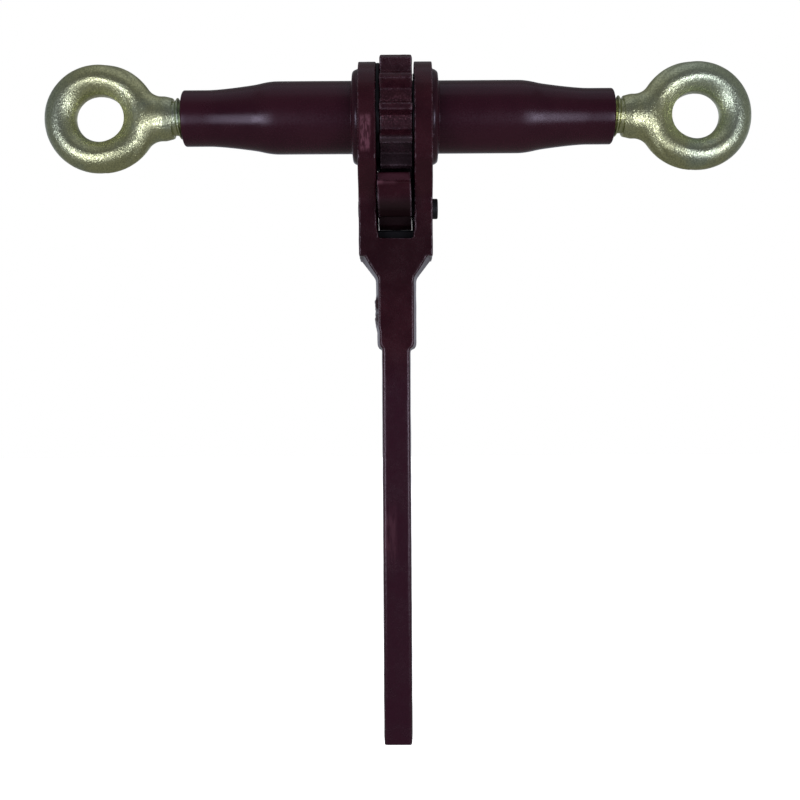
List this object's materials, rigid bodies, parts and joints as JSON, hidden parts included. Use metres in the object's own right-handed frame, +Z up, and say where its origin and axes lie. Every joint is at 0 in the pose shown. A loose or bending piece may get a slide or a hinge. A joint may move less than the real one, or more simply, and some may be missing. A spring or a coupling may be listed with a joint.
{
  "type": "ratchet turnbuckle",
  "caption": "Ratchet turnbuckle: a threaded barrel with a forked handle and two-way pawl draws two eye bolts together to tension a chain or cable.",
  "frame": {"origin": "centre of the left eye's hole", "axes": "+X along the screws from the left eye to the right eye, +Z up with the handle hanging down, +Y along the eyes' holes to the back"},
  "size_m": [0.4196, 0.0732, 0.4058],
  "materials": {
    "maroon_paint": "gloss enamel over a forged or drawn surface, thin on the edges",
    "yellow_zinc": "yellow zinc plating, slightly grainy",
    "dark_steel": "oiled black",
    "plain_steel": "turned",
    "spring_steel": "drawn wire"
  },
  "bodies": {
    "anchor_eye": {"left_eye_bolt": "yellow_zinc", "left_thread": "yellow_zinc", "left_stop_pin": "plain_steel"},
    "left_stop": {"left_stop_washer": "plain_steel"},
    "barrel": {"barrel": "maroon_paint", "ratchet_wheel": "maroon_paint", "left_collar": "maroon_paint", "right_collar": "maroon_paint"},
    "right_stop": {"right_stop_washer": "plain_steel"},
    "far_eye": {"right_eye_bolt": "yellow_zinc", "right_thread": "yellow_zinc", "right_stop_pin": "plain_steel"},
    "handle": {"fork": "maroon_paint", "handle_bar": "maroon_paint", "pawl_pin": "dark_steel", "detent_spring": "spring_steel"},
    "pawl": {"pawl": "maroon_paint"},
    "detent": {"detent_plunger": "plain_steel"}
  },
  "joints": [
    {"name": "barrel_turn", "type": "hinge", "parent": "anchor_eye", "child": "left_stop", "pos_m": [0.1777, 0, 0], "axis": [1, 0, 0], "range_deg": [-360, 6120]},
    {"name": "barrel_travel", "type": "slide", "parent": "left_stop", "child": "barrel", "axis": [1, 0, 0], "range_m": [-0.004, 0.068]},
    {"name": "right_screw_travel", "type": "slide", "parent": "barrel", "child": "right_stop", "axis": [1, 0, 0], "range_m": [-0.004, 0.068]},
    {"name": "right_screw_turn", "type": "hinge", "parent": "right_stop", "child": "far_eye", "pos_m": [0.1777, 0, 0], "axis": [1, 0, 0], "range_deg": [-6120, 360]},
    {"name": "handle_swing", "type": "hinge", "parent": "barrel", "child": "handle", "pos_m": [0.176, 0, 0], "axis": [1, 0, 0], "continuous": true},
    {"name": "pawl_rock", "type": "hinge", "parent": "handle", "child": "pawl", "pos_m": [0.176, 0, -0.0545], "axis": [1, 0, 0], "range_deg": [-22.5, 22.5]},
    {"name": "plunger_press", "type": "slide", "parent": "handle", "child": "detent", "axis": [0, 0, -1], "range_m": [0, 0.002], "stiffness_N_per_m": 1500, "deforming": ["detent_spring"]}
  ],
  "couplings": [
    {"joint": "barrel_travel", "follows": "barrel_turn", "m_per_rad": 0.00063662},
    {"joint": "right_screw_travel", "follows": "barrel_turn", "m_per_rad": 0.00063662},
    {"joint": "right_screw_turn", "follows": "barrel_turn", "ratio": -1}
  ]
}
